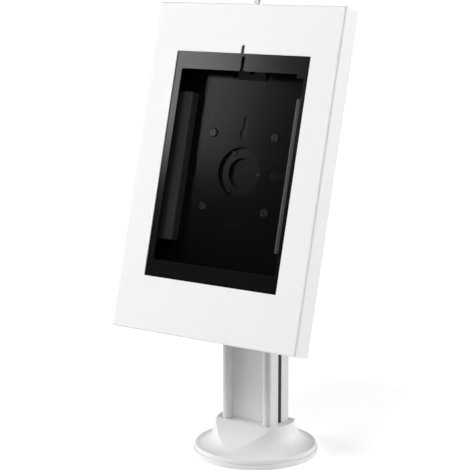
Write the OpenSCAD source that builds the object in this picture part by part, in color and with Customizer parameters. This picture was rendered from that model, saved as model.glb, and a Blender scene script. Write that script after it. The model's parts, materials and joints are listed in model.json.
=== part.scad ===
// Counter-top kiosk stand for a tablet: a bolt-down base, an extruded column, a head that tilts
// and turns, and a sheet-metal enclosure whose front cover swings open and locks.
// Millimetres, +Z up, front towards -Y, origin at the middle of the base's underside.

/* [Base] */
// Diameter of the steel base plate
base_plate_d = 130; // [128:1:150]
// Thickness of the base plate
base_plate_t = 5; // [4:0.5:8]
// Rounding of the base plate's edges
base_edge_r = 0.8; // [0.4:0.1:1.5]
// Diameter of the cable hole in the base plate
cable_hole_d = 16; // [10:1:17]
// Bolt circle of the counter bolts
counter_pcd = 98; // [94:1:104]
// Tapping diameter of the counter bolts
counter_hole_d = 5; // [4:0.1:6.8]
// Diameter of the base cover's rim
rim_d = 126.8; // [122:0.2:128]
// Height of the flare's lowest point above the counter
rim_top_z = 9.8; // [9:0.2:12]
// Rounding of the rim's upper edge
rim_r = 1.8; // [1:0.1:2.4]
// Open groove between the base plate and the rim
rim_gap = 0.3; // [0.2:0.1:1]
// Diameter of the collar round the column
collar_d = 82; // [78:1:86]
// Height of the collar's top above the counter
collar_z = 35; // [28:0.5:45]
// Rounding of the collar's upper edge
collar_edge_r = 1; // [0.4:0.1:2]
// Radius of the flare between the collar and the rim
flare_r = 23; // [21:0.5:24]
// Land between the column and the top of the flat front and rear faces
facet_land = 0.8; // [0.6:0.1:2]
// Wall thickness of the base cover
shell_t = 2.4; // [1.8:0.1:2.8]
// Radius at which the base cover's screw posts stand
post_r = 54; // [52:0.5:55]
// Diameter of the base cover's screw posts
post_d = 8; // [7:0.5:9]

/* [Column] */
// Width of the column
col_w = 60; // [58:1:62]
// Depth of the column
col_d = 40; // [38:1:44]
// Thickness of the column's side bars
col_bar = 10; // [9:0.5:10]
// Depth of the box between the side bars
web_d = 24; // [22:1:28]
// Wall thickness of the column's box
col_wall = 2; // [1.5:0.1:3]
// Height of the column's top above the counter
col_top_z = 246; // [236:1:248]
// Width of the slot in each side of the column
slot_w = 6; // [5:0.5:8]
// Thickness of the slot's lips
slot_lip = 1.8; // [1.4:0.1:2.2]
// Width of the hollow behind the slot
slot_hollow_w = 10; // [9:0.5:12]
// Depth of the hollow behind the slot
slot_hollow_d = 3.8; // [3:0.1:4]
// How far the slot strip sits below the column's side
strip_recess = 0.4; // [0.2:0.1:0.8]
// Distance of the screw ports from the middle, sideways
port_x = 13; // [12.5:0.25:13.25]
// Distance of the screw ports from the middle, front to back
port_y = 7; // [6:0.25:7.5]
// Width of the corner blocks round the screw ports
port_block = 8; // [7:0.5:9]
// Diameter of the screw ports
port_d = 4.2; // [3.4:0.1:4.6]

/* [Tilt head] */
// Height of the tilt axis above the counter
pivot_z = 288.5; // [286:0.5:296]
// Lean of the enclosure as it stands, in degrees
tilt_rest = 14.7; // [0:0.1:45]
// Distance from the tilt axis to the cover's face
reach = 55.8; // [55:0.1:62]
// Thickness of the yoke's foot
yoke_t = 6; // [4:0.5:8]
// Inner face of the yoke's ears, from the middle
ear_in = 18; // [17.5:0.1:19]
// Thickness of the yoke's ears
ear_t = 6; // [5:0.5:7]
// Radius of the yoke's ears and of the bracket's arms
ear_r = 12; // [10:0.5:12.5]
// Diameter of the pivot bolts
pivot_d = 8; // [6:0.5:8]
// Thickness of the bracket's arms
arm_t = 5; // [4:0.5:6]
// Thickness of the friction washers
washer_t = 0.8; // [0.5:0.1:1.2]
// Diameter of the bracket's bearing ring
ring_d = 64; // [62:1:68]
// Thickness of the bracket's bearing ring
ring_t = 5; // [4.5:0.5:6]
// Diameter of the sleeve's journal
journal_d = 40; // [38:0.5:41]
// Diameter of the sleeve's flange
flange_d = 56; // [54:1:58]
// Thickness of the sleeve's flange
flange_t = 2; // [1.5:0.25:2.5]
// Diameter of the cable bore through the sleeve
bore_d = 30; // [26:1:32]
// Width and height of the mounting plate
vesa_w = 115; // [114:1:118]
// Thickness of the mounting plate
vesa_t = 2.5; // [2:0.25:3]
// Depth of the dish in the middle of the mounting plate
dish_h = 2.5; // [2:0.25:3]
// Square of the mounting screws
vesa_square = 75; // [75:1:75]

/* [Enclosure] */
// Width of the front cover
cover_w = 223; // [218:1:230]
// Height of the front cover
cover_h = 335; // [330:1:342]
// Depth of the front cover's sides
cover_d = 23; // [22:0.5:24]
// Thickness of the sheet metal
sheet_t = 1.2; // [1:0.1:1.4]
// Outer bend radius of the sheet metal
bend_r = 2; // [1.6:0.1:3]
// Width of the window
window_w = 160; // [154:1:164]
// Height of the window
window_h = 230; // [224:1:236]
// Height of the window's middle above the cover's middle
window_up = 2.6; // [0:0.1:5]
// Corner radius of the window
window_r = 0.8; // [0.5:0.1:3]
// Width of the camera slots
camera_w = 4; // [3:0.5:6]
// Height of the camera slot above the window
camera_h = 8.5; // [6:0.5:12]
// Gap between the cover's sides and the tray
side_gap = 0.6; // [0.4:0.1:1]
// Gap between the cover's top and the tray
top_gap = 1; // [0.8:0.1:1.6]
// Depth at which the tray's walls begin, behind the cover's face
wall_d = 6.5; // [6.2:0.1:7]
// Depth of the tray's back plate, behind the cover's face
plate_d = 24.4; // [24:0.1:25.5]
// Diameter of the tray's middle hole
hub_hole_d = 50; // [46:1:51]
// Depth of the cover's hinge line, behind the cover's face
hinge_d = 21.5; // [20.5:0.1:22.5]
// Distance of the cover's hooks from the middle
hook_x = 70; // [50:1:90]
// Width of the cover's hooks
hook_w = 24; // [16:1:30]
// Height of the cover's hooks
hook_h = 5; // [4:0.5:6]
// Height of the tongue's bend above the middle of the window
tongue_z = 92.5; // [90:0.5:95]
// Width of the tongue
tongue_w = 33.5; // [28:0.5:34]
// Length of the tongue
tongue_len = 26; // [20:1:27]
// Forward lean of the tongue, in degrees
tongue_angle = 22; // [15:1:24]
// Width of the relief beside the tongue
relief_w = 6; // [5:0.5:9]

/* [Mask and pads] */
// Width of the mask's opening
mask_open_w = 147; // [140:1:150]
// Height of the mask's opening
mask_open_h = 195; // [190:1:205]
// Sideways shift of the mask's opening
mask_shift = 1.5; // [0:0.1:2]
// Distance from the mask's sides to the cover's sides
mask_side_gap = 8.3; // [6:0.1:10]
// Distance from the mask's ends to the cover's ends
mask_end_gap = 16.3; // [14:0.1:18]
// Thickness of the mask
mask_t = 2; // [1.5:0.1:2.4]
// Height of the camera slot above the mask's opening
mask_camera_h = 15; // [10:0.5:18]
// Rounding where the camera slot meets the mask's opening
mask_camera_r = 2; // [1:0.25:3]
// Width of the tab in the mask's upper right corner
mask_tab_w = 8.5; // [6:0.5:14]
// Height of the tab in the mask's upper right corner
mask_tab_h = 4; // [3:0.5:6]
// Diameter of the mask's studs
stud_d = 3; // [2.5:0.5:4]
// Distance from the tray's sides to the pads
pad_side = 26; // [20:0.5:30]
// Width of the pads
pad_w = 20; // [14:1:24]
// Length of the pads
pad_len = 152; // [130:1:160]
// Thickness of the pads
pad_t = 11.9; // [9:0.1:13]

/* [Lock] */
// Depth of the lock's axis behind the cover's face
lock_d = 12; // [11.5:0.1:12.2]
// Diameter of the lock's head
lock_head_d = 12; // [11.5:0.1:14]
// Height of the lock's head above the cover
lock_head_h = 5.5; // [4:0.1:7]
// Diameter of the lock's barrel
barrel_d = 10; // [9.6:0.1:10.4]
// Length of the lock's barrel below the cover's top
barrel_len = 15; // [14:0.5:16]
// Diameter of the lock's plug
plug_d = 7.2; // [6.6:0.1:7.6]
// Reach of the lock's cam from its axis
cam_reach = 11.6; // [10.5:0.1:11.7]
// Width of the lock's cam
cam_w = 8; // [6.5:0.5:8]
// Thickness of the lock's cam
cam_t = 2; // [1.5:0.1:2.5]

/* [Hidden] */
$fn = 64;

// Clearances shared by the fits
run_gap = 0.05;
fit_gap = 0.1;
seat_gap = 0.3;
lap = 1;
through = 2;

// Standard fasteners: shank radius, head radius, head height
m3_r = 1.35;
m3_hole_r = 1.7;
m3_head_r = 2.75;
m3_head_h = 1.9;
m4_r = 1.6;
m4_hole_r = 2.25;
m4_head_r = 4.5;
m4_head_h = 2.1;
m5_head_r = 4.2;
m5_head_h = 2.4;
cross_w = 0.9;
cross_depth = 1;

// Base levels, and the flat faces, which run from the collar's top until they touch the flare
rim_low_z = base_plate_t + rim_gap;
flare_x = collar_d / 2 + flare_r;
flare_z = rim_top_z + flare_r;
facet_y = col_d / 2 + facet_land;
facet_reach = norm([flare_x - facet_y, collar_z - flare_z]);
facet_angle = asin(flare_r / facet_reach) + atan2(collar_z - flare_z, flare_x - facet_y);
facet_len = sqrt(facet_reach * facet_reach - flare_r * flare_r);
facet_tip_y = facet_y + facet_len * cos(facet_angle);
facet_tip_z = collar_z - facet_len * sin(facet_angle);
post_screw_top = rim_top_z - shell_t / 2 - seat_gap;

// Column
duct_w = col_w - 2 * col_bar - 2 * col_wall;
duct_d = web_d - 2 * col_wall;
bar_x = (col_w - col_bar) / 2;
notch_r = 1.5;
strip_flange_t = 1.2;
strip_gap = 0.2;
column_screw_r = port_d / 2;
column_screw_len = 16;

// Tilt stack, from the middle outwards
ear_out = ear_in + ear_t;
arm_in = ear_out + run_gap + washer_t;
arm_out = arm_in + arm_t;
spring_in = arm_out + run_gap;
spring_t = 1.4;
spring_cone = 0.5;
bolt_head_in = spring_in + spring_t;
bolt_head_h = 4.4;
bolt_head_r = 7;
bolt_key_r = 2.6;
bolt_key_depth = 2.5;
nut_t = 6.2;
nut_r = 7.5;
bolt_end = ear_in - nut_t - lap;
foot_z = col_top_z + yoke_t;
duct_slot_w = 15;
duct_slot_d = 18;
washer_r = 11;

// Turning stack, as depths behind the cover's face
vesa_front = plate_d + sheet_t;
vesa_back = vesa_front + vesa_t;
dish_front = vesa_front + dish_h;
dish_r = hub_hole_d / 2 + lap;
flange_front = dish_front + vesa_t;
journal_front = flange_front + flange_t;
ring_front = journal_front + run_gap + washer_t;
ring_back = ring_front + ring_t;
retainer_front = ring_back + washer_t + run_gap;
retainer_t = 2.4;
journal_back = retainer_front + retainer_t;
retainer_rim = 4;
retainer_r = journal_d / 2 + retainer_rim;
bore_step = journal_front + flange_t;
journal_wall = 2.5;
bore_wide_d = journal_d - 2 * journal_wall;
cap_recess = 0.8;
cap_front = flange_front + cap_recess;
cap_t = 2.4;
cap_notch_w = 3.4;
cap_notch_len = 7;
cap_notch_depth = 1;
washer_inset = 2;
turn_washer_r = ring_d / 2 - washer_inset;
sleeve_screw_r = hub_hole_d / 2 - m3_head_r - seat_gap;
sleeve_screws_n = 3;
spanner_w = 4;
spanner_depth = 1.6;

// Enclosure levels, measured from the middle of the window
cover_mid = -window_up;
cover_top = cover_mid + cover_h / 2;
cover_low = cover_mid - cover_h / 2;
cover_in_top = cover_top - sheet_t;
cover_in_low = cover_low + sheet_t;
tray_w = cover_w - 2 * sheet_t - 2 * side_gap;
tray_top = cover_in_top - top_gap;
tray_low = cover_in_low + side_gap;
tray_h = tray_top - tray_low;
tray_mid = (tray_top + tray_low) / 2;
tray_back = plate_d + sheet_t;
flange_end = hinge_d - side_gap;
hook_slot_len = hook_h + 2 * side_gap + lap;
pad_in = tray_w / 2 - sheet_t - pad_side - pad_w;
key_hole_d = 11;
key_slot_w = 6;
key_hole_at = 39;
key_slot_at = 52.5;
side_slot_len = 20;
low_slot_len = 20;
slot_at = 52.5;
tongue_hole_d = 5.5;
tongue_hole_up = 8;
relief_h = tongue_len + through;
shield_t = 1;
shield_edge = 7;
shield_w = tongue_w + 2 * relief_w + 2 * shield_edge;
shield_h = relief_h + 2 * shield_edge;
shield_mid = tongue_z + relief_h / 2;
rivet_r = 1.6;
rivet_head_r = 3;
rivet_head_h = 0.8;
rivet_in = shield_edge / 2;

// Mask and its studs, as depths behind the cover's face
mask_back = sheet_t + mask_t;
mask_w = cover_w - 2 * sheet_t - 2 * mask_side_gap;
mask_h = cover_h - 2 * sheet_t - 2 * mask_end_gap;
mask_corner_r = 4;
mask_open_r = 1.5;
stud_x = (mask_w + window_w) / 4;
stud_z = (mask_h + window_h) / 4;
stud_nut_t = 2.4;
stud_nut_r = 3.2;
stud_end = mask_back + stud_nut_t + lap / 2;

// Lock levels, measured from the middle of the window
barrel_low = cover_top - barrel_len;
lock_nut_t = 3;
lock_nut_r = 7.5;
plug_gap = 0.05;
plug_recess = 0.2;
plug_top = cover_top + lock_head_h - plug_recess;
cam_top = barrel_low - seat_gap;
cam_low = cam_top - cam_t;
tang_r = 2.5;
cam_screw_head_r = 3.4;
cam_screw_head_h = 1.8;
cam_screw_r = 1.2;
cam_screw_len = 5;
key_w = 1.1;
key_len = 4.6;
key_depth = 8;
head_chamfer = 0.6;
lip_in = barrel_d / 2 + lap;
lip_out = 26;
lip_below = 3;
lip_low = cam_low - lip_below;
lip_step_z = cover_in_top - lock_nut_t - lap;
notch_margin = 1.8;
notch_half = lock_nut_r + notch_margin;
notch_back = lock_d + lock_nut_r + notch_margin;

// Position front to back in the head's own frame, for a depth behind the cover's face
function at_depth(d) = d - reach;

// Rectangle with rounded corners, about the middle
module rounded_rect(w, h, r) {
    square([w - 2 * r, h], center = true);
    square([w, h - 2 * r], center = true);
    for (x = [-1, 1], y = [-1, 1])
        translate([x * (w / 2 - r), y * (h / 2 - r)])
            circle(r);
}

// Slot with round ends, lying sideways
module round_slot(len, w) {
    square([len - w, w], center = true);
    for (x = [-1, 1])
        translate([x * (len - w) / 2, 0])
            circle(w / 2);
}

// Frame of the head: the tilt axis at the origin, the face leaning back
module head() {
    translate([0, 0, pivot_z])
        rotate([-tilt_rest, 0, 0])
            children();
}

// Flat outline carried from one depth to another, in the head's frame
module between(front, back) {
    translate([0, at_depth(back), 0])
        rotate([90, 0, 0])
            linear_extrude(back - front)
                children();
}

// Round bar from one depth to another, in the head's frame
module round_between(r, front, back, x = 0, z = 0) {
    translate([x, at_depth(back), z])
        rotate([90, 0, 0])
            cylinder(r = r, h = back - front);
}

// Outline drawn in the side view and carried sideways from one place to another
module sideways(from, to) {
    translate([from, 0, 0])
        rotate([90, 0, 90])
            linear_extrude(to - from)
                children();
}

// Round bar lying sideways through the tilt axis
module pivot_bar(r, from, to) {
    translate([from, 0, pivot_z])
        rotate([0, 90, 0])
            cylinder(r = r, h = to - from);
}

// The same piece on the right and on the left
module both_sides() {
    children();
    mirror([1, 0, 0])
        children();
}

// Cut for a cross-head driver, opening upwards at the origin
module cross_cut(size) {
    translate([-size / 2, -cross_w / 2, -cross_depth])
        cube([size, cross_w, cross_depth + through]);
    translate([-cross_w / 2, -size / 2, -cross_depth])
        cube([cross_w, size, cross_depth + through]);
}

// Countersunk screw, head up at the origin, shank down
module countersunk(shank_r, head_r, head_h, len) {
    difference() {
        union() {
            translate([0, 0, -head_h])
                cylinder(r1 = shank_r, r2 = head_r, h = head_h);
            translate([0, 0, -len])
                cylinder(r = shank_r, h = len - head_h);
        }
        cross_cut(head_r);
    }
}

// Pan-head screw, head up from the origin, shank down
module pan_head(shank_r, head_r, head_h, len) {
    difference() {
        union() {
            cylinder(r = head_r, h = head_h / 2);
            translate([0, 0, head_h / 2])
                cylinder(r1 = head_r, r2 = head_r - head_h / 2, h = head_h / 2);
            translate([0, 0, -len])
                cylinder(r = shank_r, h = len);
        }
        translate([0, 0, head_h])
            cross_cut(head_r);
    }
}

// Puts a screw on the enclosure's back plate, head towards the front
module facing_front(x, z, d) {
    translate([x, at_depth(d), z])
        rotate([90, 0, 0])
            children();
}

module at_ports() {
    for (x = [-port_x, port_x], y = [-port_y, port_y])
        translate([x, y, 0])
            children();
}

module at_posts() {
    for (a = [0:90:270])
        rotate([0, 0, a])
            translate([post_r, 0, 0])
                children();
}

module base_plate() {
    color("gainsboro")
    difference() {
        rotate_extrude() {
            square([base_plate_d / 2 - base_edge_r, base_plate_t]);
            translate([0, base_edge_r])
                square([base_plate_d / 2, base_plate_t - 2 * base_edge_r]);
            for (z = [base_edge_r, base_plate_t - base_edge_r])
                translate([base_plate_d / 2 - base_edge_r, z])
                    circle(base_edge_r);
        }
        translate([0, 0, -lap])
            cylinder(d = cable_hole_d, h = base_plate_t + through);
        for (a = [45:90:315])
            rotate([0, 0, a])
                translate([counter_pcd / 2, 0, -lap])
                    cylinder(d = counter_hole_d, h = base_plate_t + through);
        at_ports() {
            translate([0, 0, -lap])
                cylinder(r = column_screw_r + fit_gap, h = base_plate_t + through);
            cylinder(r1 = m5_head_r, r2 = column_screw_r, h = m5_head_h);
        }
        at_posts() {
            translate([0, 0, -lap])
                cylinder(r = m3_hole_r, h = base_plate_t + through);
            cylinder(r1 = m3_head_r, r2 = m3_r, h = m3_head_h);
        }
    }
}

// Half section of the base cover, drawn in by an even amount
module base_section(inset, low) {
    rim = rim_d / 2 - inset;
    edge = max(rim_r - inset, fit_gap);
    collar = collar_d / 2 - inset;
    collar_top = collar_z - inset;
    flare = flare_r + inset;
    flare_end = flare_x - rim + edge;
    shoulder = flare_z - sqrt(flare * flare - flare_end * flare_end);
    translate([0, low])
        square([rim - edge, shoulder - low]);
    translate([0, low])
        square([rim, shoulder - edge - low]);
    translate([rim - edge, shoulder - edge])
        circle(edge);
    translate([0, low])
        square([collar - collar_edge_r, collar_top - low]);
    translate([0, low])
        square([collar, collar_top - collar_edge_r - low]);
    translate([collar - collar_edge_r, collar_top - collar_edge_r])
        circle(collar_edge_r);
    difference() {
        translate([collar - lap, shoulder - lap])
            square([rim - edge - collar + lap, flare_z - shoulder + lap]);
        translate([flare_x, flare_z])
            circle(flare);
    }
}

// Body of the base cover with its flat front and rear
module base_body(inset, low) {
    drop_y = inset * sin(facet_angle);
    drop_z = inset * cos(facet_angle);
    difference() {
        rotate_extrude()
            base_section(inset, low);
        for (a = [0, 180])
            rotate([0, 0, a])
                sideways(-collar_d, collar_d)
                    polygon([
                        [drop_y - facet_y, collar_z - drop_z],
                        [drop_y - facet_tip_y, facet_tip_z - drop_z],
                        [drop_y - facet_tip_y, collar_z + lap],
                        [drop_y - facet_y, collar_z + lap]
                    ]);
    }
}

// Opening in the collar that follows the column
module collar_opening() {
    for (x = [-bar_x, bar_x])
        translate([x, 0])
            rounded_rect(col_bar + 2 * seat_gap, col_d + 2 * seat_gap, notch_r);
    square([col_w - col_bar, web_d + 2 * seat_gap], center = true);
}

module base_cover() {
    color("white")
    difference() {
        union() {
            difference() {
                base_body(0, rim_low_z);
                base_body(shell_t, rim_low_z - lap);
            }
            intersection() {
                base_body(shell_t / 2, base_plate_t);
                at_posts()
                    translate([0, 0, base_plate_t])
                        cylinder(d = post_d, h = collar_z);
            }
        }
        translate([0, 0, collar_z / 2])
            linear_extrude(collar_z)
                collar_opening();
        at_posts()
            translate([0, 0, base_plate_t - lap])
                cylinder(r = m3_r, h = post_screw_top + fit_gap - base_plate_t + lap);
    }
}

module cover_screws() {
    color("silver")
    at_posts()
        rotate([180, 0, 0])
            countersunk(m3_r, m3_head_r, m3_head_h, post_screw_top);
}

// Section of the column
module column_section() {
    difference() {
        union() {
            for (x = [-bar_x, bar_x])
                translate([x, 0]) {
                    square([col_bar, col_d - col_bar], center = true);
                    for (y = [-1, 1])
                        translate([0, y * (col_d - col_bar) / 2])
                            circle(d = col_bar);
                }
            square([col_w - col_bar, web_d], center = true);
        }
        difference() {
            square([duct_w, duct_d], center = true);
            for (x = [-1, 1], y = [-1, 1])
                scale([x, y])
                    translate([port_x - port_block / 2, port_y - port_block / 2])
                        square(port_block + duct_w);
        }
        for (x = [-port_x, port_x], y = [-port_y, port_y])
            translate([x, y])
                circle(d = port_d);
        for (x = [-1, 1]) {
            translate([x * col_w / 2, 0])
                square([2 * slot_lip + lap, slot_w], center = true);
            translate([x * (col_w / 2 - slot_lip - slot_hollow_d / 2), 0])
                square([slot_hollow_d, slot_hollow_w], center = true);
        }
    }
}

module column() {
    color("silver")
    translate([0, 0, base_plate_t])
        linear_extrude(col_top_z - base_plate_t)
            column_section();
}

module column_screws() {
    color("silver")
    at_ports()
        rotate([180, 0, 0])
            countersunk(column_screw_r, m5_head_r, m5_head_h, column_screw_len);
}

// Strip for the right slot of the column
module slot_strip() {
    color("dimgray")
    translate([0, 0, base_plate_t])
        linear_extrude(col_top_z - base_plate_t) {
            translate([col_w / 2 - slot_lip - strip_flange_t, -slot_w / 2 + strip_gap])
                square([slot_lip + strip_flange_t - strip_recess, slot_w - 2 * strip_gap]);
            translate([col_w / 2 - slot_lip - strip_flange_t, -slot_hollow_w / 2 + strip_gap])
                square([strip_flange_t, slot_hollow_w - 2 * strip_gap]);
        }
}

module slot_strip_left() {
    mirror([1, 0, 0])
        slot_strip();
}

module slot_strip_right() {
    slot_strip();
}

module tilt_yoke() {
    color("dimgray")
    difference() {
        union() {
            translate([0, 0, col_top_z])
                linear_extrude(yoke_t)
                    rounded_rect(col_w, col_d, col_bar / 2);
            both_sides()
                sideways(ear_in, ear_out) {
                    translate([-ear_r, foot_z - lap])
                        square([2 * ear_r, pivot_z - foot_z + lap]);
                    translate([0, pivot_z])
                        circle(ear_r);
                }
        }
        translate([0, 0, col_top_z - lap])
            linear_extrude(yoke_t + through)
                rounded_rect(duct_slot_w, duct_slot_d, notch_r);
        both_sides()
            pivot_bar(pivot_d / 2 + run_gap, ear_in - lap, ear_out + lap);
        at_ports() {
            translate([0, 0, col_top_z - lap])
                cylinder(r = column_screw_r + fit_gap, h = yoke_t + through);
            translate([0, 0, foot_z - m5_head_h])
                cylinder(r1 = column_screw_r, r2 = m5_head_r, h = m5_head_h);
        }
    }
}

module yoke_screws() {
    color("silver")
    at_ports()
        translate([0, 0, foot_z])
            countersunk(column_screw_r, m5_head_r, m5_head_h, column_screw_len);
}

module pivot_bolts() {
    color("silver")
    both_sides()
        difference() {
            union() {
                pivot_bar(pivot_d / 2, bolt_end, bolt_head_in + lap);
                translate([bolt_head_in, 0, pivot_z])
                    rotate([0, 90, 0])
                        cylinder(r1 = bolt_head_r, r2 = bolt_head_r - bolt_head_h / 2, h = bolt_head_h);
            }
            translate([bolt_head_in + bolt_head_h - bolt_key_depth, 0, pivot_z])
                rotate([0, 90, 0])
                    cylinder(r = bolt_key_r, h = bolt_key_depth + lap, $fn = 6);
        }
}

module pivot_nuts() {
    color("silver")
    both_sides()
        difference() {
            translate([ear_in - nut_t, 0, pivot_z])
                rotate([0, 90, 0])
                    cylinder(r = nut_r, h = nut_t, $fn = 6);
            pivot_bar(pivot_d / 2, ear_in - nut_t - lap, ear_in + lap);
        }
}

module spring_washers() {
    color("silver")
    both_sides()
        difference() {
            translate([spring_in, 0, pivot_z])
                rotate([0, 90, 0])
                    cylinder(r1 = washer_r, r2 = washer_r - spring_cone, h = spring_t);
            pivot_bar(pivot_d / 2 + run_gap, spring_in - lap, bolt_head_in + lap);
        }
}

module tilt_bracket() {
    color("dimgray")
    head()
    difference() {
        union() {
            round_between(ring_d / 2, ring_front, ring_back);
            both_sides()
                sideways(arm_in, arm_out) {
                    translate([at_depth(ring_front), -ear_r])
                        square([-at_depth(ring_front), 2 * ear_r]);
                    circle(ear_r);
                }
        }
        round_between(journal_d / 2 + run_gap, ring_front - lap, ring_back + lap);
        both_sides()
            translate([arm_in - lap, 0, 0])
                rotate([0, 90, 0])
                    cylinder(r = pivot_d / 2 + run_gap, h = arm_t + through);
    }
}

module arm_washers() {
    color("black")
    both_sides()
        difference() {
            pivot_bar(washer_r, arm_in - washer_t, arm_in);
            pivot_bar(pivot_d / 2 + run_gap, arm_in - washer_t - lap, arm_in + lap);
        }
}

// Friction washer of the turning joint, lying from one depth to another
module turn_washer(r, front, back) {
    color("black")
    head()
    difference() {
        round_between(r, front, back);
        round_between(journal_d / 2 + fit_gap, front - lap, back + lap);
    }
}

module front_washer() {
    turn_washer(turn_washer_r, ring_front - washer_t, ring_front);
}

module rear_washer() {
    turn_washer(retainer_r, ring_back, ring_back + washer_t);
}

module pivot_sleeve() {
    color("dimgray")
    head()
    difference() {
        union() {
            round_between(flange_d / 2, flange_front, journal_front);
            round_between(journal_d / 2, journal_front - lap, journal_back);
        }
        round_between(bore_d / 2, flange_front - lap, bore_step + lap);
        round_between(bore_wide_d / 2, bore_step, journal_back + lap);
        for (i = [0:sleeve_screws_n - 1])
            rotate([0, i * 360 / sleeve_screws_n, 0])
                round_between(m3_r, flange_front - lap, journal_front + lap, sleeve_screw_r);
    }
}

// Snap-in cap that closes the bore, with a pry slot at its edge
module bore_cap() {
    color("gray")
    head()
    difference() {
        union() {
            round_between(bore_d / 2 - run_gap, cap_front, bore_step + lap);
            round_between(bore_wide_d / 2 - run_gap, bore_step, bore_step + cap_t);
        }
        between(cap_front - lap, cap_front + cap_notch_depth)
            translate([cap_notch_w - bore_d / 2, 0])
                rotate(90)
                    round_slot(cap_notch_len, cap_notch_w);
    }
}

module retaining_ring() {
    color("silver")
    head()
    difference() {
        round_between(retainer_r, retainer_front, journal_back);
        round_between(journal_d / 2, retainer_front - lap, journal_back + lap);
        for (a = [45:90:315])
            rotate([0, a, 0])
                translate([retainer_r - spanner_depth, at_depth(retainer_front) - lap, -spanner_w / 2])
                    cube([spanner_depth + lap, retainer_t + through, spanner_w]);
    }
}

module sleeve_screws() {
    color("silver")
    head()
    for (i = [0:sleeve_screws_n - 1])
        rotate([0, i * 360 / sleeve_screws_n, 0])
            facing_front(sleeve_screw_r, 0, dish_front)
                pan_head(m3_r, m3_head_r, m3_head_h, vesa_t + flange_t - fit_gap);
}

// Plate behind the tray, its middle pressed back into a dish that the sleeve's flange sits on
module vesa_plate() {
    color("gray")
    head()
    difference() {
        union() {
            between(vesa_front, vesa_back)
                rounded_rect(vesa_w, vesa_w, mask_corner_r);
            round_between(dish_r + vesa_t, vesa_front, flange_front);
        }
        round_between(dish_r, vesa_front - lap, dish_front);
        round_between(bore_d / 2, dish_front - lap, flange_front + lap);
        for (i = [0:sleeve_screws_n - 1])
            rotate([0, i * 360 / sleeve_screws_n, 0])
                round_between(m3_hole_r, dish_front - lap, flange_front + lap, sleeve_screw_r);
        for (x = [-1, 1], z = [-1, 1])
            round_between(m4_r, vesa_front - lap, vesa_back + lap, x * vesa_square / 2, z * vesa_square / 2);
    }
}

module vesa_screws() {
    color("silver")
    head()
    for (x = [-1, 1], z = [-1, 1])
        facing_front(x * vesa_square / 2, z * vesa_square / 2, plate_d)
            pan_head(m4_r, m4_head_r, m4_head_h, vesa_back - plate_d + lap);
}

// Section of a sheet-metal pan: a flat with its two bent corners on one side
module pan_section(w, front, back, r, bend_at_back) {
    open = bend_at_back ? front : front + r;
    translate([-w / 2, at_depth(open)])
        square([w, back - front - r]);
    translate([-w / 2 + r, at_depth(front)])
        square([w - 2 * r, back - front]);
    for (x = [-1, 1])
        translate([x * (w / 2 - r), at_depth(bend_at_back ? back - r : front + r)])
            circle(r);
}

// Block of a pan, bent on all four sides of its flat
module pan_block(w, h, mid, front, back, r, bend_at_back) {
    intersection() {
        translate([0, 0, mid - h / 2])
            linear_extrude(h)
                pan_section(w, front, back, r, bend_at_back);
        translate([w / 2, 0, mid])
            rotate([0, -90, 0])
                linear_extrude(w)
                    pan_section(h, front, back, r, bend_at_back);
    }
}

// Keyhole that hangs on a screw, its slot pointing up
module keyhole() {
    translate([0, key_hole_at])
        circle(d = key_hole_d);
    translate([-key_slot_w / 2, key_hole_at])
        square([key_slot_w, key_slot_at - key_hole_at]);
    translate([0, key_slot_at])
        circle(d = key_slot_w);
}

// Openings in the tray's back plate
module plate_openings() {
    circle(d = hub_hole_d);
    for (x = [-1, 1], y = [-1, 1])
        translate([x * vesa_square / 2, y * vesa_square / 2])
            circle(m4_hole_r);
    keyhole();
    rotate(-90)
        keyhole();
    translate([-slot_at, 0])
        rotate(90)
            round_slot(side_slot_len, key_slot_w);
    translate([0, -slot_at])
        round_slot(low_slot_len, key_slot_w);
    translate([-tongue_w / 2 - relief_w, tongue_z])
        square([tongue_w + 2 * relief_w, relief_h]);
    at_rivets()
        circle(rivet_r);
}

module at_rivets() {
    for (x = [-1, 1])
        translate([x * (shield_w / 2 - rivet_in), shield_mid])
            children();
}

// Tongue lanced out of the back plate and bent forward
module tongue() {
    lean = tongue_len * sin(tongue_angle);
    rise = tongue_len * cos(tongue_angle);
    difference() {
        translate([0, at_depth(plate_d), tongue_z])
            sideways(-tongue_w / 2, tongue_w / 2)
                polygon([
                    [0, -lap], [sheet_t, -lap], [sheet_t, 0],
                    [sheet_t - lean, rise], [-lean, rise], [0, 0]
                ]);
        round_between(tongue_hole_d / 2, plate_d - tongue_len, tray_back, 0, tongue_z + tongue_hole_up);
    }
}

// Lip that the lock's cam catches behind, on the right and left of the lock
module lips() {
    both_sides() {
        translate([lip_in, at_depth(wall_d), lip_low])
            cube([lip_out - lip_in, sheet_t, lip_step_z - lip_low]);
        translate([notch_half, at_depth(wall_d), lip_step_z - lap])
            cube([lip_out - notch_half, sheet_t, tray_top - lip_step_z + lap]);
    }
}

// Slots in the tray's lower wall, which the cover's hooks turn in
module hook_slots() {
    slot_end = at_depth(hinge_d + side_gap);
    for (x = [-hook_x, hook_x])
        translate([x - hook_w / 2 - lap, slot_end - hook_slot_len, tray_low - lap])
            cube([hook_w + 2 * lap, hook_slot_len, sheet_t + through]);
}

module back_tray() {
    color("dimgray")
    head()
    union() {
        difference() {
            pan_block(tray_w, tray_h, tray_mid, wall_d, tray_back, bend_r, true);
            pan_block(tray_w - 2 * sheet_t, tray_h - 2 * sheet_t, tray_mid, wall_d - lap, plate_d,
                bend_r - sheet_t, true);
            between(plate_d - lap, tray_back + lap)
                plate_openings();
            translate([-notch_half, at_depth(wall_d) - lap, tray_top - sheet_t - lap])
                cube([2 * notch_half, notch_back - wall_d + lap, sheet_t + through]);
            hook_slots();
        }
        tongue();
        lips();
    }
}

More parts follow.
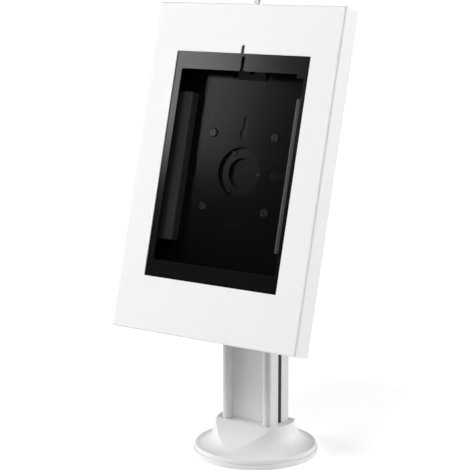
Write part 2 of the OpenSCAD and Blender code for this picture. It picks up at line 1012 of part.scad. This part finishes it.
module tongue_shield() {
    color("dimgray")
    head()
    between(tray_back, tray_back + shield_t)
        difference() {
            translate([0, shield_mid])
                rounded_rect(shield_w, shield_h, notch_r);
            at_rivets()
                circle(rivet_r);
        }
}

module shield_rivets() {
    color("silver")
    head()
    for (x = [-1, 1])
        facing_front(x * (shield_w / 2 - rivet_in), shield_mid, plate_d) {
            cylinder(r = rivet_head_r, h = rivet_head_h);
            translate([0, 0, -sheet_t - shield_t])
                cylinder(r = rivet_r, h = sheet_t + shield_t);
            translate([0, 0, -sheet_t - shield_t - rivet_head_h])
                cylinder(r = rivet_head_r, h = rivet_head_h);
        }
}

// Pad on the right of the back plate
module foam_pad() {
    color("black")
    head()
    between(plate_d - pad_t, plate_d)
        translate([pad_in, -pad_len / 2])
            square([pad_w, pad_len]);
}

module foam_pad_left() {
    mirror([1, 0, 0])
        foam_pad();
}

module foam_pad_right() {
    foam_pad();
}

// Camera slot that rises from an opening's upper edge
module camera_slot(edge, h) {
    translate([-camera_w / 2, edge - lap])
        square([camera_w, h + lap - camera_w / 2]);
    translate([0, edge + h - camera_w / 2])
        circle(d = camera_w);
}

module front_cover() {
    color("white")
    head()
    union() {
        difference() {
            pan_block(cover_w, cover_h, cover_mid, 0, cover_d, bend_r, false);
            pan_block(cover_w - 2 * sheet_t, cover_h - 2 * sheet_t, cover_mid, sheet_t, cover_d + lap,
                bend_r - sheet_t, false);
            between(-lap, sheet_t + lap) {
                rounded_rect(window_w, window_h, window_r);
                camera_slot(window_h / 2, camera_h);
            }
            translate([0, at_depth(lock_d), cover_in_top - lap])
                cylinder(d = barrel_d + 2 * fit_gap, h = sheet_t + through);
            translate([-cover_w / 2 + sheet_t, at_depth(flange_end), cover_low - lap])
                cube([cover_w - 2 * sheet_t, cover_d, sheet_t + through]);
        }
        for (x = [-hook_x, hook_x])
            translate([x - hook_w / 2, at_depth(flange_end - sheet_t), cover_in_low - sheet_t / 2])
                cube([hook_w, sheet_t, hook_h + sheet_t / 2]);
    }
}

// Rounding where the camera slot meets the mask's opening
module camera_flare() {
    for (x = [-1, 1])
        difference() {
            translate([x * (camera_w + mask_camera_r) / 2, mask_open_h / 2 + mask_camera_r / 2])
                square([mask_camera_r, mask_camera_r], center = true);
            translate([x * (camera_w / 2 + mask_camera_r), mask_open_h / 2 + mask_camera_r])
                circle(mask_camera_r);
        }
}

module at_studs() {
    for (x = [-stud_x, stud_x], z = [-stud_z, 0, stud_z])
        translate([x, z])
            children();
}

module mask_frame() {
    color("black")
    head()
    between(sheet_t, mask_back)
        difference() {
            rounded_rect(mask_w, mask_h, mask_corner_r);
            translate([mask_shift, 0])
                difference() {
                    union() {
                        rounded_rect(mask_open_w, mask_open_h, mask_open_r);
                        camera_slot(mask_open_h / 2, mask_camera_h);
                        camera_flare();
                    }
                    translate([mask_open_w / 2 - mask_tab_w, mask_open_h / 2 - mask_tab_h])
                        square([mask_tab_w + lap, mask_tab_h + lap]);
                }
            at_studs()
                circle(stud_d / 2 + fit_gap);
        }
}

module mask_studs() {
    color("silver")
    head()
    between(sheet_t, stud_end)
        at_studs()
            circle(d = stud_d);
}

module mask_nuts() {
    color("silver")
    head()
    between(mask_back, mask_back + stud_nut_t)
        at_studs()
            difference() {
                circle(stud_nut_r, $fn = 6);
                circle(d = stud_d);
            }
}

// Frame of the lock: its axis upright in the head's frame
module at_lock() {
    head()
        translate([0, at_depth(lock_d), 0])
            children();
}

module lock_housing() {
    color("silver")
    at_lock()
    difference() {
        union() {
            translate([0, 0, cover_top])
                cylinder(d = lock_head_d, h = lock_head_h - head_chamfer);
            translate([0, 0, cover_top + lock_head_h - head_chamfer])
                cylinder(d1 = lock_head_d, d2 = lock_head_d - 2 * head_chamfer, h = head_chamfer);
            translate([0, 0, barrel_low])
                cylinder(d = barrel_d, h = barrel_len + lap);
        }
        translate([0, 0, barrel_low - lap])
            cylinder(d = plug_d + 2 * plug_gap, h = barrel_len + lock_head_h + through);
    }
}

module lock_nut() {
    color("silver")
    at_lock()
    difference() {
        translate([0, 0, cover_in_top - lock_nut_t])
            cylinder(r = lock_nut_r, h = lock_nut_t, $fn = 6);
        translate([0, 0, cover_in_top - lock_nut_t - lap])
            cylinder(d = barrel_d, h = lock_nut_t + through);
    }
}

module lock_plug() {
    color("silver")
    at_lock()
    difference() {
        union() {
            translate([0, 0, cam_top])
                cylinder(d = plug_d, h = plug_top - cam_top);
            translate([0, 0, cam_low])
                cylinder(r = tang_r, h = cam_t + lap);
        }
        translate([-key_w / 2, -key_len / 2, plug_top - key_depth])
            cube([key_w, key_len, key_depth + lap]);
        translate([0, 0, cam_low - lap])
            cylinder(r = cam_screw_r, h = cam_screw_len + lap);
    }
}

module lock_cam() {
    color("silver")
    at_lock()
    translate([0, 0, cam_low])
        linear_extrude(cam_t)
            difference() {
                union() {
                    circle(d = cam_w);
                    translate([-cam_w / 2, 0])
                        square([cam_w, cam_reach - cam_w / 2]);
                    translate([0, cam_reach - cam_w / 2])
                        circle(d = cam_w);
                }
                circle(tang_r);
            }
}

module cam_screw() {
    color("silver")
    at_lock()
    translate([0, 0, cam_low])
        rotate([180, 0, 0])
            pan_head(cam_screw_r, cam_screw_head_r, cam_screw_head_h, cam_screw_len - fit_gap);
}

base_plate();
base_cover();
cover_screws();
column();
column_screws();
slot_strip_left();
slot_strip_right();
tilt_yoke();
yoke_screws();
pivot_bolts();
pivot_nuts();
spring_washers();
tilt_bracket();
arm_washers();
front_washer();
rear_washer();
pivot_sleeve();
bore_cap();
retaining_ring();
sleeve_screws();
vesa_plate();
vesa_screws();
back_tray();
tongue_shield();
shield_rivets();
foam_pad_left();
foam_pad_right();
front_cover();
mask_frame();
mask_studs();
mask_nuts();
lock_housing();
lock_nut();
lock_plug();
lock_cam();
cam_screw();
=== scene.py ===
import json
import math

import bmesh
import bpy
from mathutils import Matrix, Vector, noise


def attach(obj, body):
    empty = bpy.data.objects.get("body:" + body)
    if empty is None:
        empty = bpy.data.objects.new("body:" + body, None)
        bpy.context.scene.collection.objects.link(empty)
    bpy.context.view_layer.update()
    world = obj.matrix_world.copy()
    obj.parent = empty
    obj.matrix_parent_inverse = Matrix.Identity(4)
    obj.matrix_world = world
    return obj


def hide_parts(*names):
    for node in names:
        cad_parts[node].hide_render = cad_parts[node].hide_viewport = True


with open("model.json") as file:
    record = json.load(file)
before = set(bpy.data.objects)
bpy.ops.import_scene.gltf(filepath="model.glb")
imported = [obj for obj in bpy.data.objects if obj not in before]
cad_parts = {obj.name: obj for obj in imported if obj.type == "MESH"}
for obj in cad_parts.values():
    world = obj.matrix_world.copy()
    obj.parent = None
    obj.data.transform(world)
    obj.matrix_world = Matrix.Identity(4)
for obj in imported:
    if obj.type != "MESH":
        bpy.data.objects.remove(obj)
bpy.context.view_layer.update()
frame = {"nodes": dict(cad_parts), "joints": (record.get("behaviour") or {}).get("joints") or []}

SCENE = bpy.context.scene
SCENE.view_settings.view_transform = "Standard"

# The photograph's camera: angles in degrees, places in metres, lens and sensor in millimetres
CAMERA_AZIMUTH = 35.35
CAMERA_ELEVATION = 10.48
CAMERA_DISTANCE = 1.5732
CAMERA_TARGET = Vector((-0.0263, 0.0, 0.2256))
CAMERA_LENS = 117.13
SENSOR_WIDTH = 36.0

# Soft boxes: azimuth, elevation and distance from the head, then side length and radiance
LIGHTS = {
    "key": (-71.0, 6.0, 6.0, 2.2, 13.6),
    "top": (3.0, 50.0, 3.0, 1.2, 9.2),
    "right": (142.0, 16.0, 3.0, 1.2, 16.6),
    "front_right": (48.0, 18.0, 3.0, 1.2, 2.2),
    "gleam": (-44.0, 22.5, 1.1, 0.26, 10.4),
}
WORLD_LIGHT = 0.03

# The floor and its backdrop in metres, and how much the camera sees them lifted near by and far off
FLOOR_RADIUS = 12.0
FLOOR_SEGMENTS = 96
FLOOR_DROP = 0.0003
BACKDROP_HEIGHT = 1.5
FLOOR_NEAR = 0.6
FLOOR_FAR = 3.0
FLOOR_LIFT_NEAR = 0.48
FLOOR_LIFT_FAR = 1.02

# The pads in metres: grid, rounded edge with its cuts, swell of the front and ripple of the skin
PAD_CELL = 0.004
PAD_EDGE = 0.001
PAD_EDGE_CUTS = (1.0, 0.6, 0.25)
PAD_CROWN = 0.0004
PAD_CROWN_POWER_ACROSS = 2
PAD_CROWN_POWER_ALONG = 8
PAD_RIPPLE = 0.00012
PAD_RIPPLE_SCALE = 260

# What all powder paint shares: noise scales, shares of the fine grain and the depth of the peel
PAINT_CLOUDS = 11.0
PAINT_PEEL = 620.0
PAINT_GRAIN = 2600.0
GRAIN_IN_TONE = 0.12
GRAIN_IN_PEEL = 0.35
PEEL_DEPTH = 0.00025
PAINT_ROUGH_SPREAD = 0.05

# Sheet paint: roughness inside, peel, and what changes on the faces that look rearwards. The rear faces
# keep these plain black tones; the inside faces take a far darker copy of the black, as painted shade
SHEET_ROUGH_LOW = 0.14
SHEET_ROUGH_HIGH = 0.24
SHEET_PEEL = 0.05
REAR_DARK = 0.016
REAR_LIGHT = 0.024
REAR_EXTRA_ROUGH = 0.24
REAR_SPECULAR = 0.4
REAR_BLEND = 0.3

# Nodes by the finish they take
WHITE_POWDER = ("front_cover", "base_plate")
WHITE_MOULDING = ("base_cover",)
EXTRUSION = ("column",)
TRAY_POWDER = ("back_tray", "tongue_shield")
PLATE_POWDER = ("vesa_plate",)
HEAD_POWDER = ("tilt_yoke", "tilt_bracket")
SLEEVE_SHADE_POWDER = ("pivot_sleeve",)
BLACK_ZINC = ("vesa_screws", "sleeve_screws", "shield_rivets")
BLACK_MOULDING = ("mask_frame",)
DARK_MOULDING = ("bore_cap", "arm_washers", "front_washer", "rear_washer")
STRIP = ("slot_strip_left", "slot_strip_right")
ZINC = (
    "cover_screws", "column_screws", "yoke_screws", "pivot_bolts", "pivot_nuts", "spring_washers",
    "retaining_ring", "mask_studs", "mask_nuts", "lock_nut", "lock_cam", "cam_screw",
)
CHROME = ("lock_housing", "lock_plug")

# The head leans with the turning joint, so its frame comes from that joint
turn = next(joint for joint in frame["joints"] if joint["name"] == "turn")
HEAD_POINT = Vector(turn["pos_m"])
lean = math.atan2(turn["axis"][2], -turn["axis"][1])
head = Matrix.Translation(HEAD_POINT) @ Matrix.Rotation(-lean, 4, "X")
REARWARD = head.to_3x3() @ Vector((0.0, 1.0, 0.0))


class Surface:
    """A node material that is built up piece by piece."""

    def __init__(self, name, **values):
        self.material = bpy.data.materials.new(name)
        self.material.use_nodes = True
        self.tree = self.material.node_tree
        self.shader = self.tree.nodes["Principled BSDF"]
        for socket, value in values.items():
            self.set(socket.replace("_", " "), value)
        self.place = self.add("ShaderNodeTexCoord").outputs["Object"]

    def add(self, kind, inputs=None, **settings):
        """New node with its settings made first, because some of them change its sockets."""
        node = self.tree.nodes.new(kind)
        for key, value in settings.items():
            setattr(node, key, value)
        for key, value in (inputs or {}).items():
            self.feed(node.inputs[key], value)
        return node

    def feed(self, socket, value):
        if isinstance(value, bpy.types.NodeSocket):
            self.tree.links.new(value, socket)
        else:
            socket.default_value = value

    def set(self, name, value):
        self.feed(self.shader.inputs[name], value)

    def stretched(self, scale, rotation=(0.0, 0.0, 0.0)):
        inputs = {"Vector": self.place, "Scale": scale, "Rotation": rotation}
        return self.add("ShaderNodeMapping", inputs).outputs["Vector"]

    def noise(self, scale, detail=2.0, vector=None, roughness=0.5):
        inputs = {"Vector": vector or self.place, "Scale": scale, "Detail": detail, "Roughness": roughness}
        return self.add("ShaderNodeTexNoise", inputs).outputs["Fac"]

    def cells(self, scale):
        inputs = {"Vector": self.place, "Scale": scale}
        return self.add("ShaderNodeTexVoronoi", inputs).outputs["Distance"]

    def ranged(self, value, low, high, start=0.3, end=0.7):
        """Takes a value from start and end to low and high, and holds it there."""
        inputs = {"Value": value, "From Min": start, "From Max": end, "To Min": low, "To Max": high}
        return self.add("ShaderNodeMapRange", inputs).outputs["Result"]

    def mixed(self, factor, first, second):
        """Mix of two colours. This node's colour sockets are inputs 6 and 7 and output 2."""
        return self.add("ShaderNodeMix", {0: factor, 6: first, 7: second}, data_type="RGBA").outputs[2]

    def maths(self, operation, *values):
        return self.add("ShaderNodeMath", dict(enumerate(values)), operation=operation).outputs[0]

    def summed(self, first, second, share):
        """The first value plus a share of the second."""
        return self.maths("MULTIPLY_ADD", second, share, first)

    def facing(self, direction, blend):
        """One on faces that look in a direction of the object's own frame, nought on the others."""
        normal = self.add("ShaderNodeTexCoord").outputs["Normal"]
        dot = self.add("ShaderNodeVectorMath", {0: normal, 1: direction}, operation="DOT_PRODUCT")
        return self.ranged(dot.outputs["Value"], low=0.0, high=1.0, start=0.0, end=blend)

    def bump(self, height, strength, distance):
        inputs = {"Height": height, "Strength": strength, "Distance": distance}
        self.set("Normal", self.add("ShaderNodeBump", inputs).outputs["Normal"])


def grey(value):
    return (value, value, value, 1.0)


def paint_layers(surface):
    """Patterns of powder paint: its tone, its skin and its height."""
    clouds = surface.noise(PAINT_CLOUDS, detail=3.0)
    grain = surface.noise(PAINT_GRAIN, detail=1.0)
    skin = surface.noise(PAINT_PEEL, detail=2.0)
    tone = surface.summed(clouds, grain, GRAIN_IN_TONE)
    height = surface.summed(skin, grain, GRAIN_IN_PEEL)
    return tone, skin, height


def powder_coat(name, light, dark, rough, specular, peel):
    """Baked powder paint: a faint orange peel with fine grain and slow clouds of tone."""
    surface = Surface(name, Specular_IOR_Level=specular)
    tone, skin, height = paint_layers(surface)
    surface.set("Base Color", surface.mixed(tone, grey(dark), grey(light)))
    roughness = surface.ranged(skin, low=rough - PAINT_ROUGH_SPREAD, high=rough + PAINT_ROUGH_SPREAD)
    surface.set("Roughness", roughness)
    surface.bump(height, peel, PEEL_DEPTH)
    return surface.material


def sheet_coat(name, light, dark, specular):
    """Black powder paint on sheet steel: smooth inside, open and satin on the rear. The inside faces take
    a far darker copy of the black than the rear faces, which is painted shade deepening the inside of the
    box.
    """
    surface = Surface(name)
    rear = surface.facing(REARWARD, REAR_BLEND)
    tone, skin, height = paint_layers(surface)
    # Inside faces: a far darker black than the rear's, painted shade for the inside of the box
    inner_painted_shade_tone = surface.mixed(tone, grey(dark), grey(light))
    rear_tone = surface.mixed(tone, grey(REAR_DARK), grey(REAR_LIGHT))
    surface.set("Base Color", surface.mixed(rear, inner_painted_shade_tone, rear_tone))
    inner_rough = surface.ranged(skin, SHEET_ROUGH_LOW, SHEET_ROUGH_HIGH)
    surface.set("Roughness", surface.summed(inner_rough, rear, REAR_EXTRA_ROUGH))
    gloss = surface.ranged(rear, specular, REAR_SPECULAR, start=0.0, end=1.0)
    surface.set("Specular IOR Level", gloss)
    surface.bump(height, SHEET_PEEL, PEEL_DEPTH)
    return surface.material


def moulding(name, light, dark, rough, specular, grain_scale, depth):
    """Injection moulding with a spark-eroded grain."""
    surface = Surface(name, Specular_IOR_Level=specular)
    clouds = surface.noise(scale=16.0, detail=3.0)
    grain = surface.cells(grain_scale)
    speck = surface.noise(scale=grain_scale * 0.6, detail=2.0)
    surface.set("Base Color", surface.mixed(clouds, grey(dark), grey(light)))
    surface.set("Roughness", surface.ranged(speck, low=rough - 0.06, high=rough + 0.06))
    surface.bump(surface.summed(grain, speck, share=0.6), strength=depth, distance=0.0002)
    return surface.material


def extrusion(name, light, dark):
    """Satin anodised aluminium with fine die lines that run along the bar."""
    surface = Surface(name, Specular_IOR_Level=0.3)
    along_bar = surface.stretched((1500.0, 1500.0, 3.0))
    lines = surface.noise(scale=1.0, detail=3.0, vector=along_bar)
    clouds = surface.noise(scale=18.0, detail=2.0)
    tone = surface.summed(clouds, lines, share=0.35)
    surface.set("Base Color", surface.mixed(tone, grey(dark), grey(light)))
    surface.set("Roughness", surface.ranged(lines, low=0.4, high=0.52))
    surface.bump(lines, strength=0.06, distance=0.0002)
    return surface.material


def rubber_strip(name, light, dark):
    """Soft extruded strip with faint draw lines and a little dust."""
    surface = Surface(name, Specular_IOR_Level=0.25)
    along_strip = surface.stretched((2200.0, 2200.0, 8.0))
    lines = surface.noise(scale=1.0, detail=2.0, vector=along_strip)
    dust = surface.noise(scale=260.0, detail=4.0, roughness=0.7)
    cover = surface.ranged(dust, low=0.0, high=1.0, start=0.45, end=0.8)
    surface.set("Base Color", surface.mixed(cover, grey(dark), grey(light)))
    surface.set("Roughness", surface.ranged(lines, low=0.5, high=0.7))
    surface.bump(lines, strength=0.12, distance=0.0002)
    return surface.material


def zinc_plate(name):
    """Blue zinc plating: mottled, with tumbling scuffs."""
    surface = Surface(name, Metallic=1.0)
    clouds = surface.noise(scale=420.0, detail=3.0)
    aslant = surface.stretched((900.0, 3600.0, 900.0), rotation=(0.4, 0.2, 0.7))
    scuffs = surface.noise(scale=1.0, detail=2.0, vector=aslant)
    bluish = (0.48, 0.49, 0.51, 1.0)
    bright = (0.66, 0.66, 0.65, 1.0)
    surface.set("Base Color", surface.mixed(clouds, bluish, bright))
    surface.set("Roughness", surface.ranged(scuffs, low=0.24, high=0.44))
    surface.bump(scuffs, strength=0.08, distance=0.0001)
    return surface.material


def satin_chrome(name):
    """Satin plating with fine brushing lines and finger haze."""
    surface = Surface(name, Metallic=1.0)
    haze = surface.noise(scale=240.0, detail=4.0, roughness=0.65)
    brushed = surface.stretched((800.0, 800.0, 6000.0))
    lines = surface.noise(scale=1.0, detail=2.0, vector=brushed)
    hazed = (0.82, 0.82, 0.84, 1.0)
    clean = (0.9, 0.9, 0.91, 1.0)
    surface.set("Base Color", surface.mixed(haze, hazed, clean))
    wear = surface.summed(lines, haze, share=0.5)
    surface.set("Roughness", surface.ranged(wear, low=0.3, high=0.42, start=0.4, end=1.0))
    surface.bump(lines, strength=0.03, distance=0.0001)
    return surface.material


def closed_foam(name, light, dark):
    """Closed-cell foam: small skinned cells with a dusty bloom."""
    surface = Surface(name, Specular_IOR_Level=0.1)
    pores = surface.cells(scale=1500.0)
    bloom = surface.noise(scale=70.0, detail=4.0, roughness=0.6)
    tone = surface.summed(bloom, pores, share=0.3)
    surface.set("Base Color", surface.mixed(tone, grey(dark), grey(light)))
    surface.set("Roughness", surface.ranged(bloom, low=0.2, high=0.26))
    surface.bump(pores, strength=0.25, distance=0.0003)
    return surface.material


def dress(nodes, material):
    """Gives the CAD nodes their finish in place of what they came with."""
    for name in nodes:
        slots = frame["nodes"][name].data.materials
        slots.clear()
        slots.append(material)


dress(WHITE_POWDER, powder_coat(
    "white_powder", light=0.87, dark=0.84, rough=0.55, specular=0.25, peel=0.12))
dress(WHITE_MOULDING, moulding(
    "white_moulding", light=0.87, dark=0.84, rough=0.5, specular=0.3, grain_scale=2400.0, depth=0.1))
dress(EXTRUSION, extrusion("satin_alloy", light=0.74, dark=0.69))
# The light and dark values here are the painted-shade inside tones; the rear faces take REAR_DARK and
# REAR_LIGHT
dress(TRAY_POWDER, sheet_coat("tray_powder", light=0.003, dark=0.002, specular=0.06))
dress(PLATE_POWDER, sheet_coat("plate_powder", light=0.006, dark=0.004, specular=0.07))
dress(HEAD_POWDER, powder_coat(
    "head_powder", light=0.026, dark=0.018, rough=0.42, specular=0.4, peel=0.1))
# The pivot sleeve takes a far darker black than the head's own paint: painted shade for the ring seen
# through the hub hole
dress(SLEEVE_SHADE_POWDER, powder_coat(
    "sleeve_painted_shade_powder", light=0.003, dark=0.002, rough=0.19, specular=0.06, peel=0.05))
dress(BLACK_ZINC, powder_coat(
    "black_zinc", light=0.013, dark=0.008, rough=0.24, specular=0.17, peel=0.05))
dress(BLACK_MOULDING, moulding(
    "black_moulding", light=0.003, dark=0.002, rough=0.19, specular=0.2, grain_scale=2000.0, depth=0.05))
dress(DARK_MOULDING, moulding(
    "dark_moulding", light=0.005, dark=0.003, rough=0.22, specular=0.06, grain_scale=2000.0, depth=0.06))
dress(STRIP, rubber_strip("black_strip", light=0.014, dark=0.006))
dress(ZINC, zinc_plate("zinc_plate"))
dress(CHROME, satin_chrome("lock_chrome"))


def extent(node, place):
    """Lowest and highest corner of a node in a frame of its own."""
    points = [place.inverted() @ vertex.co for vertex in frame["nodes"][node].data.vertices]
    low = Vector([min(p[i] for p in points) for i in range(3)])
    high = Vector([max(p[i] for p in points) for i in range(3)])
    return low, high


def cut_places(length):
    """Places across one side of a pad: an even grid, and lines close to both edges."""
    cells = max(1, round(length / PAD_CELL))
    even = [length * (i / cells - 0.5) for i in range(1, cells)]
    close = [length / 2 - PAD_EDGE * share for share in PAD_EDGE_CUTS]
    return even + close + [-place for place in close]


def cut_block(size):
    """Unit cube that is cut up for a block of the given size."""
    mesh = bmesh.new()
    bmesh.ops.create_cube(mesh, size=1.0)
    for axis in range(3):
        normal = Vector((0, 0, 0))
        normal[axis] = 1
        for place in cut_places(size[axis]):
            geometry = mesh.verts[:] + mesh.edges[:] + mesh.faces[:]
            plane = normal * (place / size[axis])
            bmesh.ops.bisect_plane(mesh, geom=geometry, plane_co=plane, plane_no=normal)
    return mesh


def foam_point(point, size):
    """Where a point of a plain block lies on the pad, measured from the pad's middle."""
    half = size / 2
    core = Vector([max(-half[i] + PAD_EDGE, min(half[i] - PAD_EDGE, point[i])) for i in range(3)])
    off = point - core
    if off.length > 0:
        point = core + off.normalized() * min(off.length, PAD_EDGE)
    if point.y < 0:
        across = 1 - (2 * point.x / size.x) ** PAD_CROWN_POWER_ACROSS
        along = 1 - (2 * point.z / size.z) ** PAD_CROWN_POWER_ALONG
        point.y -= PAD_CROWN * across * along - PAD_CROWN
    ripple = PAD_RIPPLE * noise.noise(point * PAD_RIPPLE_SCALE)
    if point.y < half.y - PAD_EDGE:
        point += point.normalized() * (ripple - PAD_RIPPLE)
    return point


def foam_block(node, material):
    """Die-cut foam pad: rounded edges, a front that swells a little and a rippled skin."""
    low, high = extent(node, head)
    size, middle = high - low, (low + high) / 2
    mesh = cut_block(size)
    for vertex in mesh.verts:
        point = Vector([vertex.co[i] * size[i] for i in range(3)])
        vertex.co = head @ (middle + foam_point(point, size))
    data = bpy.data.meshes.new(node + "_foam")
    mesh.to_mesh(data)
    mesh.free()
    data.materials.append(material)
    data.polygons.foreach_set("use_smooth", [True] * len(data.polygons))
    pad = bpy.data.objects.new(node + "_foam", data)
    SCENE.collection.objects.link(pad)
    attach(pad, "enclosure")
    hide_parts(node)


foam = closed_foam("closed_foam", light=0.041, dark=0.031)
foam_block("foam_pad_left", foam)
foam_block("foam_pad_right", foam)


def floor_paint():
    """Pale floor paint, which the camera and reflections see lifted to white round the shadow."""
    surface = Surface("studio_floor", Roughness=0.9, Specular_IOR_Level=0.0, Emission_Color=grey(1.0))
    clouds = surface.noise(scale=3.0, detail=2.0)
    surface.set("Base Color", surface.mixed(clouds, grey(0.92), grey(0.94)))
    rays = surface.add("ShaderNodeLightPath").outputs
    seen = surface.maths("MAXIMUM", rays["Is Camera Ray"], rays["Is Glossy Ray"])
    seen = surface.maths("MAXIMUM", seen, rays["Is Transmission Ray"])
    far = surface.add("ShaderNodeVectorMath", {0: surface.place}, operation="LENGTH").outputs["Value"]
    lift = surface.ranged(far, FLOOR_LIFT_NEAR, FLOOR_LIFT_FAR, start=FLOOR_NEAR, end=FLOOR_FAR)
    surface.set("Emission Strength", surface.maths("MULTIPLY", seen, lift))
    return surface.material


def make_floor():
    """Round studio floor with a low backdrop round its rim."""
    mesh = bmesh.new()
    bmesh.ops.create_circle(mesh, cap_ends=True, radius=FLOOR_RADIUS, segments=FLOOR_SEGMENTS)
    rim = bmesh.ops.extrude_edge_only(mesh, edges=mesh.edges[:])["geom"]
    raised = [part for part in rim if isinstance(part, bmesh.types.BMVert)]
    bmesh.ops.translate(mesh, verts=raised, vec=(0.0, 0.0, BACKDROP_HEIGHT))
    data = bpy.data.meshes.new("studio_floor")
    mesh.to_mesh(data)
    mesh.free()
    data.materials.append(floor_paint())
    floor = bpy.data.objects.new("studio_floor", data)
    floor.location.z = -FLOOR_DROP
    SCENE.collection.objects.link(floor)


def make_world():
    """Even dim surroundings. The wide floor and its backdrop are the background."""
    world = bpy.data.worlds.new("studio")
    SCENE.world = world
    world.use_nodes = True
    back = world.node_tree.nodes["Background"]
    back.inputs["Color"].default_value = grey(1.0)
    back.inputs["Strength"].default_value = WORLD_LIGHT


def aim(name, data, target, azimuth, elevation, distance):
    """Puts a lamp or a camera near a point and turns it there. Azimuth 0 is in front, 90 to the right."""
    a = math.radians(azimuth)
    e = math.radians(elevation)
    way = Vector((math.sin(a) * math.cos(e), -math.cos(a) * math.cos(e), math.sin(e)))
    aimed = bpy.data.objects.new(name, data)
    aimed.location = target + way * distance
    aimed.rotation_mode = "QUATERNION"
    aimed.rotation_quaternion = (-way).to_track_quat("-Z", "Y")
    SCENE.collection.objects.link(aimed)
    return aimed


def soft_box(name, azimuth, elevation, distance, side, radiance):
    """Square studio light of an even radiance that faces the head."""
    light = bpy.data.lights.new(name, "AREA")
    light.shape = "SQUARE"
    light.size = side
    light.energy = radiance * math.pi * side * side
    aim(name, light, HEAD_POINT, azimuth, elevation, distance)


def make_camera():
    """The photograph's camera."""
    data = bpy.data.cameras.new("camera")
    data.lens = CAMERA_LENS
    data.sensor_width = SENSOR_WIDTH
    SCENE.camera = aim("camera", data, CAMERA_TARGET, CAMERA_AZIMUTH, CAMERA_ELEVATION, CAMERA_DISTANCE)


make_floor()
make_world()
for name, values in LIGHTS.items():
    soft_box(name, *values)
make_camera()
